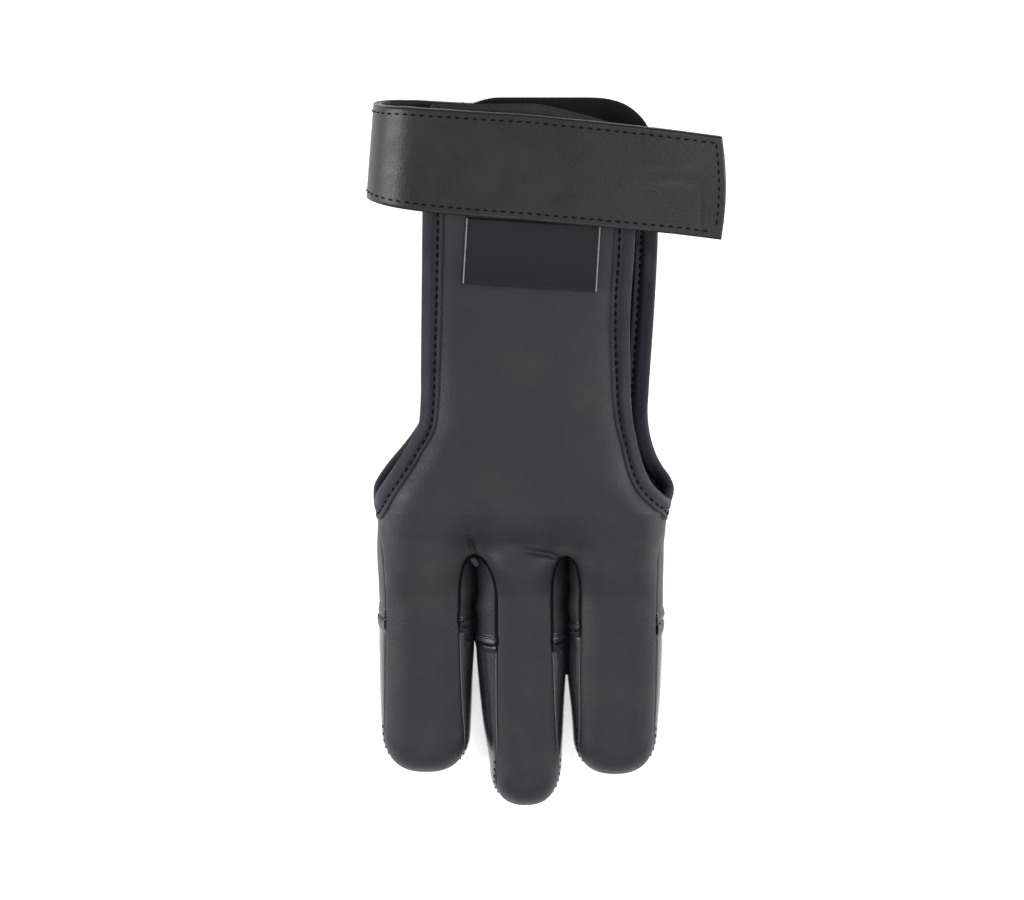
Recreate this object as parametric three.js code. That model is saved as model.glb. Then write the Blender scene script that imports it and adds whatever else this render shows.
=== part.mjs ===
// Archery glove for three fingers, lying palm down, in millimetres with +Z up.
// X runs across the hand, +Y runs from the fingertips to the wrist.
// While the pieces are worked out, y = 0 is at the forks between the fingers.
// The finished group is moved so that the middle of its footprint is the origin.
import * as THREE from 'three';

// Sizes of the fingers
const FINGER_LENGTH = 75.7;
const FINGER_WIDTH = 27;
const FINGER_DEPTH = 20.5;
const TIP_LENGTH = 14;

// Overall sizes of the hand: three fingers side by side, with a little ease between them
const HAND_EASE = 3.5;
const HAND_WIDTH = 3 * FINGER_WIDTH + HAND_EASE;
const HAND_LENGTH = 131;
const KNUCKLE_DEPTH = 27;

// Leather, seams and edging
const LEATHER = 1.3;
const SEAM_GAP = 0.3;
const EDGING_LEATHER = 0.9;
const EDGING_WIDTH = 4.2;
const EDGING_CLEARANCE = 0.7;
const EDGING_TURN_WIDTH = 3.2;

// Wrist strap, its touch closure and the label
const STRAP_WIDTH = 30;
const STRAP_LEATHER = 2.2;
const STRAP_REACH = 102;
const PATCH_WIDTH = 23;
const PATCH_LENGTH = 38;
const PATCH_THICKNESS = 1;
const LABEL_WIDTH = 38.5;
const LABEL_HEIGHT = 18.5;
const LABEL_THICKNESS = 0.6;

// How the rounded sections are drawn: 2 is an ellipse, more is squarer
const ROUND_ABOVE = 2.3;
const ROUND_BELOW = 2.8;
const FLAT_BELOW = 1.1;
const TIP_ROUND = 2.4;
const EQUATOR = 0.46 * FINGER_DEPTH;

// Fingers: centres as shares of HAND_WIDTH, widths of FINGER_WIDTH, depths of FINGER_DEPTH,
// length and pad of FINGER_LENGTH, seams of the half width at the fork and at the tip
const FINGERS = [
  { name: 'left', centre: -0.3212, tipCentre: -0.3225, width: 1.018, tipWidth: 0.967, depth: 1.09,
    tipDepth: 0.95, length: 0.867, pad: 0.265,
    leftSeam: 0.855, leftTipSeam: 0.94, rightSeam: 0.71, rightTipSeam: 0.86 },
  { name: 'middle', centre: 0.0018, tipCentre: 0.0195, width: 0.974, tipWidth: 0.785, depth: 1.03,
    tipDepth: 0.93, length: 1, pad: 0.343,
    leftSeam: 0.525, leftTipSeam: 0.77, rightSeam: 0.69, rightTipSeam: 0.93 },
  { name: 'right', centre: 0.3275, tipCentre: 0.3278, width: 1.032, tipWidth: 0.92, depth: 1.09,
    tipDepth: 0.95, length: 0.875, pad: 0.285,
    leftSeam: 0.745, leftTipSeam: 0.84, rightSeam: 0.86, rightTipSeam: 0.93 },
];
const NARROWING = 3;
const SEAM_TURN = 0.9;

// Forks between the fingers: place as a share of HAND_WIDTH, dips as shares of KNUCKLE_DEPTH
const FORKS = [
  { name: 'fork_left', place: -0.158, dip: 0.17 },
  { name: 'fork_right', place: 0.158, dip: 0.15 },
];
const FORK_REACH = 0.48 * FINGER_WIDTH;
const FORK_FOLD = 0.08 * FINGER_WIDTH;
const PALM_SEAM = THREE.MathUtils.degToRad(38);

// Hand: along as a share of HAND_LENGTH, the edges as shares of HAND_WIDTH,
// the depths as shares of KNUCKLE_DEPTH
const HAND = [
  { along: 0, backLeft: -0.49, backRight: 0.494, palmLeft: -0.49, palmRight: 0.494,
    backEdge: 0.35, palmEdge: 0.35, top: 0.9, crown: 0.03 },
  { along: 0.11, backLeft: -0.488, backRight: 0.506, palmLeft: -0.488, palmRight: 0.506,
    backEdge: 0.36, palmEdge: 0.34, top: 0.98, crown: 0.05 },
  { along: 0.118, backLeft: -0.485, backRight: 0.498, palmLeft: -0.489, palmRight: 0.511,
    backEdge: 0.48, palmEdge: 0.27, top: 0.985, crown: 0.05 },
  { along: 0.132, backLeft: -0.48, backRight: 0.48, palmLeft: -0.489, palmRight: 0.516,
    backEdge: 0.57, palmEdge: 0.21, top: 0.99, crown: 0.05 },
  { along: 0.156, backLeft: -0.463, backRight: 0.446, palmLeft: -0.471, palmRight: 0.501,
    backEdge: 0.655, palmEdge: 0.18, top: 1, crown: 0.05 },
  { along: 0.187, backLeft: -0.433, backRight: 0.418, palmLeft: -0.431, palmRight: 0.463,
    backEdge: 0.715, palmEdge: 0.152, top: 0.99, crown: 0.05 },
  { along: 0.252, backLeft: -0.369, backRight: 0.387, palmLeft: -0.35, palmRight: 0.427,
    backEdge: 0.765, palmEdge: 0.105, top: 0.96, crown: 0.05 },
  { along: 0.305, backLeft: -0.329, backRight: 0.369, palmLeft: -0.307, palmRight: 0.419,
    backEdge: 0.77, palmEdge: 0.08, top: 0.92, crown: 0.05 },
  { along: 0.35, backLeft: -0.322, backRight: 0.361, palmLeft: -0.298, palmRight: 0.422,
    backEdge: 0.75, palmEdge: 0.075, top: 0.88, crown: 0.05 },
  { along: 0.52, backLeft: -0.318, backRight: 0.355, palmLeft: -0.293, palmRight: 0.438,
    backEdge: 0.665, palmEdge: 0.075, top: 0.74, crown: 0.04 },
  { along: 0.69, backLeft: -0.314, backRight: 0.37, palmLeft: -0.293, palmRight: 0.449,
    backEdge: 0.555, palmEdge: 0.075, top: 0.61, crown: 0.02 },
  { along: 0.76, backLeft: -0.312, backRight: 0.373, palmLeft: -0.293, palmRight: 0.449,
    backEdge: 0.555, palmEdge: 0.075, top: 0.605, crown: 0.02 },
  { along: 1, backLeft: -0.31, backRight: 0.382, palmLeft: -0.293, palmRight: 0.437,
    backEdge: 0.555, palmEdge: 0.075, top: 0.605, crown: 0.02 },
];
const NOTCH = 0.11;
const FLARE_END = 0.22;
const CORNER = 0.16 * HAND_WIDTH;
const PALM_OPENS = 0.1;
const PALM_EDGE_LIFT = EDGING_LEATHER + EDGING_CLEARANCE + 1.5 * SEAM_GAP;
const PALM_EDGE_FLAT = 1.5 * EDGING_WIDTH;

// Dents in the back: one in line with each fork, and a hollow over the middle finger
const FORK_DENT = { across: 0.24 * FINGER_WIDTH, along: 0.5 * FINGER_WIDTH };
const HOLLOW = { across: 0.42 * FINGER_WIDTH, place: 0.03 * HAND_LENGTH,
  along: 0.06 * HAND_LENGTH, depth: 0.06 * KNUCKLE_DEPTH };

// Lines that carry the forks up the hand: they spread to these shares of its width
const FORK_LINE_SHARES = [0.34, 0.66];
const FORK_LINE_END = 0.4 * HAND_LENGTH;

// The palm rises over the strap that runs under it, as shares of HAND_LENGTH
const STEP_START = 0.66;
const STEP_END = 0.715;
const STEP_HEIGHT = STRAP_LEATHER + 2 * SEAM_GAP;

// The top edge of each panel falls away at its sides, as shares of HAND_LENGTH
const CUFF_START = 0.8;
const BACK_FALL = [{ from: 0, to: 0.311, drop: 0.002, power: 1 },
  { from: 0.05, to: 0.383, drop: 0.058, power: 1.2 }];
const PALM_FALL = [{ from: 0.08, to: 0.3, drop: 0.05, power: 1.4 },
  { from: 0.2, to: 0.45, drop: 0.075, power: 3.8 }];

// Middle line of the strap seen from the wrist: x as a share of STRAP_REACH, z of KNUCKLE_DEPTH,
// middle as a share of HAND_LENGTH, width and skew of STRAP_WIDTH
const STRAP = [
  { x: 0.27, z: 0, middle: 0.853, width: 0.98, skew: 0 },
  { x: 0, z: 0, middle: 0.868, width: 0.98, skew: 0 },
  { x: -0.285, z: 0, middle: 0.882, width: 0.96, skew: 0.02 },
  { x: -0.366, z: 0.035, middle: 0.887, width: 0.93, skew: 0.03 },
  { x: -0.401, z: 0.16, middle: 0.891, width: 0.9, skew: 0.036 },
  { x: -0.406, z: 0.34, middle: 0.892, width: 0.89, skew: 0.036 },
  { x: -0.38, z: 0.55, middle: 0.891, width: 0.92, skew: 0.036 },
  { x: -0.32, z: 0.685, middle: 0.888, width: 0.96, skew: 0.03 },
  { x: -0.2, z: 0.725, middle: 0.88, width: 0.985, skew: 0.015 },
  { x: 0.02, z: 0.737, middle: 0.868, width: 1, skew: 0 },
  { x: 0.26, z: 0.735, middle: 0.85, width: 0.99, skew: 0 },
  { x: 0.42, z: 0.7, middle: 0.836, width: 0.98, skew: 0 },
  { x: 0.557, z: 0.63, middle: 0.82, width: 0.98, skew: 0 },
];
const STRAP_BULGE = 0.04 * STRAP_WIDTH;
const HOOK_END = 0.51 * STRAP_REACH;
const LOOP_PLACE = { x: 0.03 * HAND_WIDTH, along: 0.86 * HAND_LENGTH, slope: -0.06 };

// Label: place of its middle on the back of the hand
const LABEL_PLACE = { x: 0.039 * HAND_WIDTH, along: 0.675 * HAND_LENGTH };
const LABEL_TURN = THREE.MathUtils.degToRad(-3.5);
const LABEL_LIFT = 1.2;

// Rounded fold of the edging, as shares of its leather and of its outer height
const EDGING_SHOULDER = { deep: 0.6, out: 0.7 };

// How finely the surfaces are divided
const FINGER_ROWS = 6;
const TIP_ROWS = 6;
const BACK_COLUMNS = 8;
const PALM_COLUMNS = 6;
const PAD_COLUMNS = 12;
const GUSSET_COLUMNS = 4;
const HAND_ROWS = [0.26, 0.3, 0.35, 0.42, 0.5, 0.58, STEP_START,
  0.5 * (STEP_START + STEP_END), STEP_END, CUFF_START, 0.87, 0.94, 1];
const NOTCH_ROWS = 7;
const NOTCH_CROWDING = 1.6;
const STRAP_STEPS = 3;
const EDGE_CHORD = 0.18;

const { lerp, clamp } = THREE.MathUtils;
const mixPoints = (a, b, share) => a.clone().lerp(b, share);
const ease = (value) => THREE.MathUtils.smoothstep(value, 0, 1);
const signedPower = (value, power) => Math.sign(value) * Math.abs(value) ** power;

// Value of one column of a table at a place, as a smooth curve without overshoot
function column(rows, key, place, at) {
  let i = 0;
  while (i < rows.length - 2 && at > rows[i + 1][place]) i += 1;
  const slope = (k) => (rows[k + 1][key] - rows[k][key]) / (rows[k + 1][place] - rows[k][place]);
  const tangent = (k) => {
    if (k === 0) return slope(0);
    if (k === rows.length - 1) return slope(k - 1);
    const [before, after] = [slope(k - 1), slope(k)];
    return before * after <= 0 ? 0 : (2 * before * after) / (before + after);
  };
  const span = rows[i + 1][place] - rows[i][place];
  const t = clamp((at - rows[i][place]) / span, 0, 1);
  const h = t * t * (3 - 2 * t);
  const bend = t * (1 - t) * span;
  return lerp(rows[i][key], rows[i + 1][key], h)
    + bend * ((1 - t) * tangent(i) - t * tangent(i + 1));
}

const handX = (key, y) => HAND_WIDTH * column(HAND, key, 'along', y / HAND_LENGTH);
const handZ = (key, y) => KNUCKLE_DEPTH * column(HAND, key, 'along', y / HAND_LENGTH);
const seamAngle = (share) => Math.acos(share ** (ROUND_ABOVE / 2));
const gapAngle = SEAM_GAP / FINGER_WIDTH;

// A point of a rounded section. The angle is 0 at the right equator and 90 degrees on top.
function sectionPoint({ centre, half, equator, top, bottom }, angle, depth) {
  const [c, s] = [Math.cos(angle), Math.sin(angle)];
  const power = 2 / (s < 0 ? ROUND_BELOW : ROUND_ABOVE);
  const x = centre + (half - depth) * signedPower(c, power);
  if (s >= 0) return { x, z: equator + (top - depth - equator) * Math.abs(s) ** power };
  const down = Math.min(1, FLAT_BELOW * Math.abs(s) ** power);
  return { x, z: equator - (equator - bottom - depth) * down };
}

// A point of a finger: reach is 0 at the fork and 1 at the start of the round tip,
// and goes on to 2 at the very tip. lift parts the back strip from the pad at the tip.
function fingerPoint(finger, angle, reach, depth, lift = 0) {
  const length = finger.length * FINGER_LENGTH;
  const straight = length - TIP_LENGTH;
  const body = clamp(reach, 0, 1);
  const turn = (clamp(reach - 1, 0, 1) * Math.PI) / 2;
  const shrink = Math.cos(turn) ** (2 / TIP_ROUND);
  const y = -straight * body - (TIP_LENGTH - depth) * Math.sin(turn) ** (2 / TIP_ROUND);
  const narrowing = body ** NARROWING;
  const half = 0.5 * FINGER_WIDTH * lerp(finger.width, finger.tipWidth, narrowing);
  const depthTop = FINGER_DEPTH * lerp(finger.depth, finger.tipDepth, body);
  const equator = EQUATOR + lift;
  const section = { centre: 0, half, equator: 0, top: depthTop - equator, bottom: -equator };
  const point = sectionPoint(section, angle, depth);
  const centre = HAND_WIDTH * lerp(finger.centre, finger.tipCentre, narrowing);
  return new THREE.Vector3(centre + point.x * shrink, y, equator + point.z * shrink);
}

// The seam between the back strip and the side walls comes down to the equator at the tip
function stripSeam(finger, side, reach) {
  const narrowing = clamp(reach, 0, 1) ** NARROWING;
  const share = side < 0 ? lerp(finger.leftSeam, finger.leftTipSeam, narrowing)
    : lerp(finger.rightSeam, finger.rightTipSeam, narrowing);
  return seamAngle(share) * (1 - ease(reach - SEAM_TURN));
}

// Height of the back of the hand over the floor
function backHeight(x, y) {
  const middle = 0.5 * (handX('backLeft', y) + handX('backRight', y));
  const half = 0.5 * (handX('backRight', y) - handX('backLeft', y));
  const across = clamp((x - middle) / half, -1, 1);
  let z = handZ('top', y) + handZ('crown', y) * (1 - across * across);
  for (const fork of FORKS) {
    const dx = (x - fork.place * HAND_WIDTH) / FORK_DENT.across;
    const dy = y / FORK_DENT.along;
    z -= fork.dip * KNUCKLE_DEPTH * Math.exp(-dx * dx - dy * dy);
  }
  const hollow = Math.exp(-((x / HOLLOW.across) ** 2) - ((y - HOLLOW.place) / HOLLOW.along) ** 2);
  return z - HOLLOW.depth * hollow;
}

const forkLine = (index, y) => {
  const free = lerp(handX('backLeft', y), handX('backRight', y), FORK_LINE_SHARES[index]);
  return lerp(FORKS[index].place * HAND_WIDTH, free, ease(y / FORK_LINE_END));
};

function trimCuff(point, [leftFall, rightFall]) {
  const start = CUFF_START * HAND_LENGTH;
  if (point.y <= start) return point;
  const fall = point.x < 0 ? leftFall : rightFall;
  const share = clamp((Math.abs(point.x) / HAND_WIDTH - fall.from) / (fall.to - fall.from), 0, 1);
  const drop = fall.drop * HAND_LENGTH * share ** fall.power;
  point.y -= (drop * (point.y - start)) / (HAND_LENGTH - start);
  return point;
}

const palmFloor = (y) => {
  const share = y / HAND_LENGTH;
  return STEP_HEIGHT * ease((share - STEP_START) / (STEP_END - STEP_START));
};

// A point of the back of the hand. strip is 0 to 2 and across runs over the strip from 0 to 1.
// The outer half of an outer strip follows the rounded corner down to the edge or seam.
function backPoint(strip, across, y, depth) {
  const side = strip === 0 ? -1 : 1;
  const edge = handX(strip === 0 ? 'backLeft' : 'backRight', y);
  const corner = edge - side * CORNER;
  const inward = strip === 0 ? across : 1 - across;
  if (strip !== 1 && inward < 0.5) {
    const top = backHeight(corner, y);
    const share = clamp((handZ('backEdge', y) - EQUATOR) / (top - EQUATOR), 0, 1);
    const notch = NOTCH * HAND_LENGTH;
    const outerSeam = strip === 0 ? FINGERS[0].leftSeam : FINGERS[2].rightSeam;
    const low = y < notch
      ? seamAngle(outerSeam) * (1 - ease(y / notch)) + gapAngle
      : Math.asin(share ** (ROUND_ABOVE / 2)) + gapAngle;
    const half = y < notch ? CORNER : CORNER / Math.cos(low) ** (2 / ROUND_ABOVE);
    const angle = lerp(low, Math.PI / 2, inward * 2);
    const section = { centre: 0, half, equator: EQUATOR, top, bottom: 0 };
    const point = sectionPoint(section, angle, depth);
    return trimCuff(new THREE.Vector3(corner + side * point.x, y, point.z), BACK_FALL);
  }
  const start = strip === 0 ? corner : forkLine(strip - 1, y);
  const end = strip === 2 ? corner : forkLine(strip, y);
  const share = strip === 0 ? 2 * across - 1 : strip === 2 ? 2 * across : across;
  const x = lerp(start, end, share);
  return trimCuff(new THREE.Vector3(x, y, backHeight(x, y) - depth), BACK_FALL);
}

// A point of the palm, numbered like the back
function palmPoint(strip, across, y, depth) {
  const side = strip === 0 ? -1 : 1;
  const edge = handX(strip === 0 ? 'palmLeft' : 'palmRight', y);
  const corner = edge - side * CORNER;
  const floor = palmFloor(y);
  const inward = strip === 0 ? across : 1 - across;
  if (strip !== 1 && inward < 0.5) {
    const share = clamp((EQUATOR - handZ('palmEdge', y)) / EQUATOR / FLAT_BELOW, 0, 1);
    const notch = NOTCH * HAND_LENGTH;
    const outerSeam = strip === 0 ? FINGERS[0].leftSeam : FINGERS[2].rightSeam;
    const low = y < notch
      ? seamAngle(outerSeam) * (1 - ease(y / notch)) - gapAngle
      : -Math.asin(share ** (ROUND_BELOW / 2)) - gapAngle;
    const half = y < notch ? CORNER : CORNER / Math.cos(low) ** (2 / ROUND_BELOW);
    const angle = lerp(low, -Math.PI / 2, inward * 2);
    const section = { centre: 0, half, equator: EQUATOR, top: backHeight(corner, y), bottom: 0 };
    const point = sectionPoint(section, angle, depth);
    const round = new THREE.Vector3(corner + side * point.x, y, point.z + floor);
    const flatX = lerp(edge, corner, inward * 2);
    const rise = 1 - ease((Math.abs(flatX - edge) - PALM_EDGE_FLAT) / PALM_EDGE_FLAT);
    const flat = new THREE.Vector3(flatX, y, PALM_EDGE_LIFT * rise + depth + floor);
    const opened = ease((y / HAND_LENGTH - NOTCH) / PALM_OPENS);
    return trimCuff(mixPoints(round, flat, opened), PALM_FALL);
  }
  const start = strip === 0 ? corner : forkLine(strip - 1, y);
  const end = strip === 2 ? corner : forkLine(strip, y);
  const share = strip === 0 ? 2 * across - 1 : strip === 2 ? 2 * across : across;
  const x = lerp(start, end, share);
  return trimCuff(new THREE.Vector3(x, y, depth + floor), PALM_FALL);
}

// How far a row below the forks has left the shape of the hand: the edges at a fork part
// quickly and the middle of a finger changes slowly
function fingerShare(y, edge = 1) {
  const t = clamp(-y / FORK_REACH, 0, 1);
  return lerp(ease(t), 1 - (1 - t) ** 3, edge);
}

const edgeWeight = (strip, across) => {
  const off = 2 * across - 1;
  const outer = (strip === 0 && off < 0) || (strip === 2 && off > 0);
  return outer ? 0 : Math.abs(off) ** 3;
};

const straightLength = (finger) => finger.length * FINGER_LENGTH - TIP_LENGTH;

// Angles of a back strip and of a palm tongue, from the left edge to the right edge
function stripAngle(finger, across, reach) {
  const left = Math.PI - stripSeam(finger, -1, reach) - gapAngle;
  const right = stripSeam(finger, 1, reach) + gapAngle;
  return across < 0.5 ? lerp(left, Math.PI / 2, 2 * across)
    : lerp(Math.PI / 2, right, 2 * across - 1);
}

function tongueAngle(index, across, reach) {
  const finger = FINGERS[index];
  const left = index === 0
    ? Math.PI - stripSeam(finger, -1, reach) + gapAngle : Math.PI + PALM_SEAM + gapAngle;
  const right = index === 2
    ? 2 * Math.PI + stripSeam(finger, 1, reach) - gapAngle : 2 * Math.PI - PALM_SEAM - gapAngle;
  return across < 0.5 ? lerp(left, 1.5 * Math.PI, 2 * across)
    : lerp(1.5 * Math.PI, right, 2 * across - 1);
}

// A grid of points for the outer face and the inner face of a leather wall
function wall(rows, columns, pointAt) {
  const grid = [];
  for (const row of rows) {
    const line = [];
    for (let j = 0; j <= columns; j += 1) {
      line.push({ outer: pointAt(row, j / columns, 0), inner: pointAt(row, j / columns, LEATHER) });
    }
    grid.push(line);
  }
  return grid;
}

// One closed solid from grids that share their common points
function leatherSolid(grids) {
  const points = [];
  const known = new Map();
  const keyOf = (point) => [point.x, point.y, point.z].map((v) => Math.round(v * 2000)).join(' ');
  const indexOf = ({ outer, inner }) => {
    const key = keyOf(outer);
    if (!known.has(key)) {
      known.set(key, points.length);
      points.push({ outer, inner });
    }
    return known.get(key);
  };
  const faces = [];
  const addFace = (a, b, c) => {
    if (a !== b && b !== c && c !== a) faces.push([a, b, c]);
  };
  for (const grid of grids) {
    for (let i = 0; i + 1 < grid.length; i += 1) {
      for (let j = 0; j + 1 < grid[i].length; j += 1) {
        const corners = [grid[i][j], grid[i][j + 1], grid[i + 1][j + 1], grid[i + 1][j]].map(indexOf);
        addFace(corners[0], corners[1], corners[2]);
        addFace(corners[0], corners[2], corners[3]);
      }
    }
  }
  const edges = new Set(faces.flatMap(([a, b, c]) => [`${a} ${b}`, `${b} ${c}`, `${c} ${a}`]));
  const count = points.length;
  const index = [];
  for (const [a, b, c] of faces) {
    index.push(a, b, c, c + count, b + count, a + count);
    for (const [from, to] of [[a, b], [b, c], [c, a]]) {
      if (!edges.has(`${to} ${from}`)) {
        index.push(to, from, from + count, to, from + count, to + count);
      }
    }
  }
  return solidGeometry([...points.map((p) => p.outer), ...points.map((p) => p.inner)], index);
}

// Geometry whose faces point out, whichever way round they were listed
function solidGeometry(points, index) {
  let volume = 0;
  for (let i = 0; i < index.length; i += 3) {
    const [a, b, c] = [points[index[i]], points[index[i + 1]], points[index[i + 2]]];
    volume += a.dot(b.clone().cross(c));
  }
  if (volume < 0) index.reverse();
  const geometry = new THREE.BufferGeometry().setFromPoints(points);
  geometry.setIndex(index);
  geometry.computeVertexNormals();
  return geometry;
}

// Rings of equal numbers of points joined into one closed solid with flat ends
function ringSolid(rings) {
  const count = rings[0].length;
  const points = rings.flat();
  const index = [];
  for (let i = 0; i + 1 < rings.length; i += 1) {
    for (let j = 0; j < count; j += 1) {
      const [a, b] = [i * count + j, i * count + ((j + 1) % count)];
      index.push(a, b, b + count, a, b + count, a + count);
    }
  }
  const outline = capOutline(rings[0]);
  for (const [a, b, c] of THREE.ShapeUtils.triangulateShape(outline, [])) {
    const last = (rings.length - 1) * count;
    index.push(c, b, a, last + a, last + b, last + c);
  }
  return solidGeometry(points, index);
}

// The corners of a ring in its own plane
function capOutline(ring) {
  const origin = ring[0];
  const along = ring[1].clone().sub(origin).normalize();
  const normal = new THREE.Vector3();
  ring.forEach((point, i) => {
    const next = ring[(i + 1) % ring.length];
    normal.add(point.clone().sub(origin).cross(next.clone().sub(origin)));
  });
  const across = normal.normalize().cross(along);
  return ring.map((point) => {
    const from = point.clone().sub(origin);
    return new THREE.Vector2(from.dot(along), from.dot(across));
  });
}

const shares = (count) => Array.from({ length: count + 1 }, (_, i) => i / count);

// Rows of a finger from the fork to the very tip, as reach values
function fingerRows(finger, from, to) {
  const rows = [];
  const near = FORK_REACH / straightLength(finger);
  for (const share of shares(4)) rows.push(near * share);
  for (const share of shares(FINGER_ROWS).slice(1)) rows.push(lerp(near, 1, share));
  for (const share of shares(TIP_ROWS).slice(1)) rows.push(1 + share);
  return [from, ...rows.filter((row) => row > from + 0.01 && row < to - 0.01), to];
}

// Rows of the hand: close together at the notch, wider towards the wrist
function handRows() {
  const below = shares(4).map((share) => share * NOTCH).slice(0, -1);
  const notch = shares(NOTCH_ROWS).map((share) => lerp(NOTCH, FLARE_END, share ** NOTCH_CROWDING));
  return [...below, ...notch, ...HAND_ROWS].map((share) => share * HAND_LENGTH);
}

function backPanel() {
  const grids = [0, 1, 2].map((strip) => wall(handRows(), BACK_COLUMNS,
    (y, across, depth) => backPoint(strip, across, y, depth)));
  FINGERS.forEach((finger, strip) => {
    grids.push(wall(fingerRows(finger, 0, 2), BACK_COLUMNS, (reach, across, depth) => {
      const angle = stripAngle(finger, across, reach);
      const own = fingerPoint(finger, angle, reach, depth, SEAM_GAP);
      const hand = backPoint(strip, across, 0, depth).setY(own.y);
      return mixPoints(hand, own, fingerShare(own.y, edgeWeight(strip, across)));
    }).reverse());
  });
  return leatherSolid(grids);
}

function palmPanel() {
  const grids = [0, 1, 2].map((strip) => wall(handRows(), PALM_COLUMNS,
    (y, across, depth) => palmPoint(strip, across, y, depth)));
  FINGERS.forEach((finger, strip) => {
    const end = (finger.pad * FINGER_LENGTH - SEAM_GAP) / straightLength(finger);
    grids.push(wall(fingerRows(finger, 0, end), PALM_COLUMNS, (reach, across, depth) => {
      const own = fingerPoint(finger, tongueAngle(strip, across, reach), reach, depth);
      const hand = palmPoint(strip, across, 0, depth).setY(own.y);
      return mixPoints(hand, own, fingerShare(own.y, edgeWeight(strip, across)));
    }).reverse());
  });
  return leatherSolid(grids);
}

// The gusset in a fork lines the right side of one finger and the left side of the next
function gusset(forkIndex) {
  const fork = FORKS[forkIndex];
  const x = fork.place * HAND_WIDTH;
  const high = backHeight(x, 0) - LEATHER - 2 * SEAM_GAP;
  const low = LEATHER + 2 * SEAM_GAP;
  const sides = [{ finger: FINGERS[forkIndex], side: 1 }, { finger: FINGERS[forkIndex + 1], side: -1 }];
  const grids = sides.map(({ finger, side }) => {
    const end = (finger.pad * FINGER_LENGTH - SEAM_GAP) / straightLength(finger);
    const first = FORK_FOLD / straightLength(finger);
    const rows = [0, 0.4 * first, first, ...fingerRows(finger, 0, end).slice(1)];
    return wall(rows, GUSSET_COLUMNS, (reach, down, depth) => {
      const top = stripSeam(finger, side, reach) - gapAngle;
      const bend = lerp(top, -PALM_SEAM, down);
      const angle = side > 0 ? bend : Math.PI - bend;
      const own = fingerPoint(finger, angle, reach, 0);
      const inward = fingerPoint(finger, angle, reach, LEATHER).sub(own);
      const seam = new THREE.Vector3(x, own.y, lerp(high, low, down));
      const face = mixPoints(seam, own, fingerShare(own.y));
      const turn = (1 - ease(-own.y / FORK_FOLD)) * Math.PI * 0.5;
      const step = inward.multiplyScalar(Math.cos(turn)).setY(LEATHER * Math.sin(turn));
      return depth > 0 ? face.add(step) : face;
    });
  });
  return leatherSolid([grids[0].reverse(), grids[1]]);
}

// The pad of a fingertip goes round its palm side from one back seam to the other
function fingerPad(finger) {
  const start = (finger.pad * FINGER_LENGTH) / straightLength(finger);
  return leatherSolid([wall(fingerRows(finger, start, 2), PAD_COLUMNS, (reach, across, depth) => {
    const left = Math.PI - stripSeam(finger, -1, reach) + gapAngle;
    const right = 2 * Math.PI + stripSeam(finger, 1, reach) - gapAngle;
    return fingerPoint(finger, lerp(left, right, across), reach, depth);
  })]);
}

// The edge of both panels round one side opening, from the back of the cuff to its palm side
function openingEdge(side) {
  const strip = side < 0 ? 0 : 2;
  const across = side < 0 ? 0 : 1;
  const rows = handRows().filter((y) => y >= NOTCH * HAND_LENGTH - 0.01);
  const place = (pointAt, y) => {
    const middle = pointAt(strip, across, y, 0.5 * LEATHER);
    const reach = Math.abs(across - EDGE_CHORD);
    const inward = pointAt(strip, reach, y, 0.5 * LEATHER).sub(middle);
    const down = pointAt(strip, reach, y - EDGING_WIDTH, 0.5 * LEATHER).sub(middle);
    const open = ease((y / HAND_LENGTH - NOTCH) / (FLARE_END - NOTCH));
    const width = lerp(EDGING_TURN_WIDTH, EDGING_WIDTH, open);
    return { middle, width, normal: inward.cross(down).normalize().multiplyScalar(side) };
  };
  const back = rows.map((y) => place(backPoint, y)).reverse();
  const palm = rows.slice(1).map((y) => place(palmPoint, y));
  palm.forEach((entry) => entry.normal.negate());
  return [...back, ...palm];
}

// Folded edging: a channel that grips the edge of both panels
function edging(side) {
  const route = openingEdge(side);
  const slot = 0.5 * LEATHER + EDGING_CLEARANCE;
  const outside = slot + EDGING_LEATHER;
  const bottom = -EDGING_CLEARANCE - EDGING_LEATHER;
  const shoulder = -EDGING_CLEARANCE - EDGING_SHOULDER.deep * EDGING_LEATHER;
  const profile = (width) => [
    [width, slot], [width, outside], [0, outside],
    [shoulder, EDGING_SHOULDER.out * outside], [bottom, 0],
    [shoulder, -EDGING_SHOULDER.out * outside], [0, -outside],
    [width, -outside], [width, -slot],
    [-EDGING_CLEARANCE, -slot], [-EDGING_CLEARANCE, slot],
  ];
  const rings = route.map(({ middle, normal, width }, i) => {
    const before = route[Math.max(i - 1, 0)].middle;
    const after = route[Math.min(i + 1, route.length - 1)].middle;
    const tangent = after.clone().sub(before).normalize();
    const inward = tangent.clone().cross(normal).normalize().multiplyScalar(side);
    return profile(width).map(([deep, out]) => middle.clone()
      .addScaledVector(inward, deep).addScaledVector(normal, out));
  });
  return ringSolid(rings);
}

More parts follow.
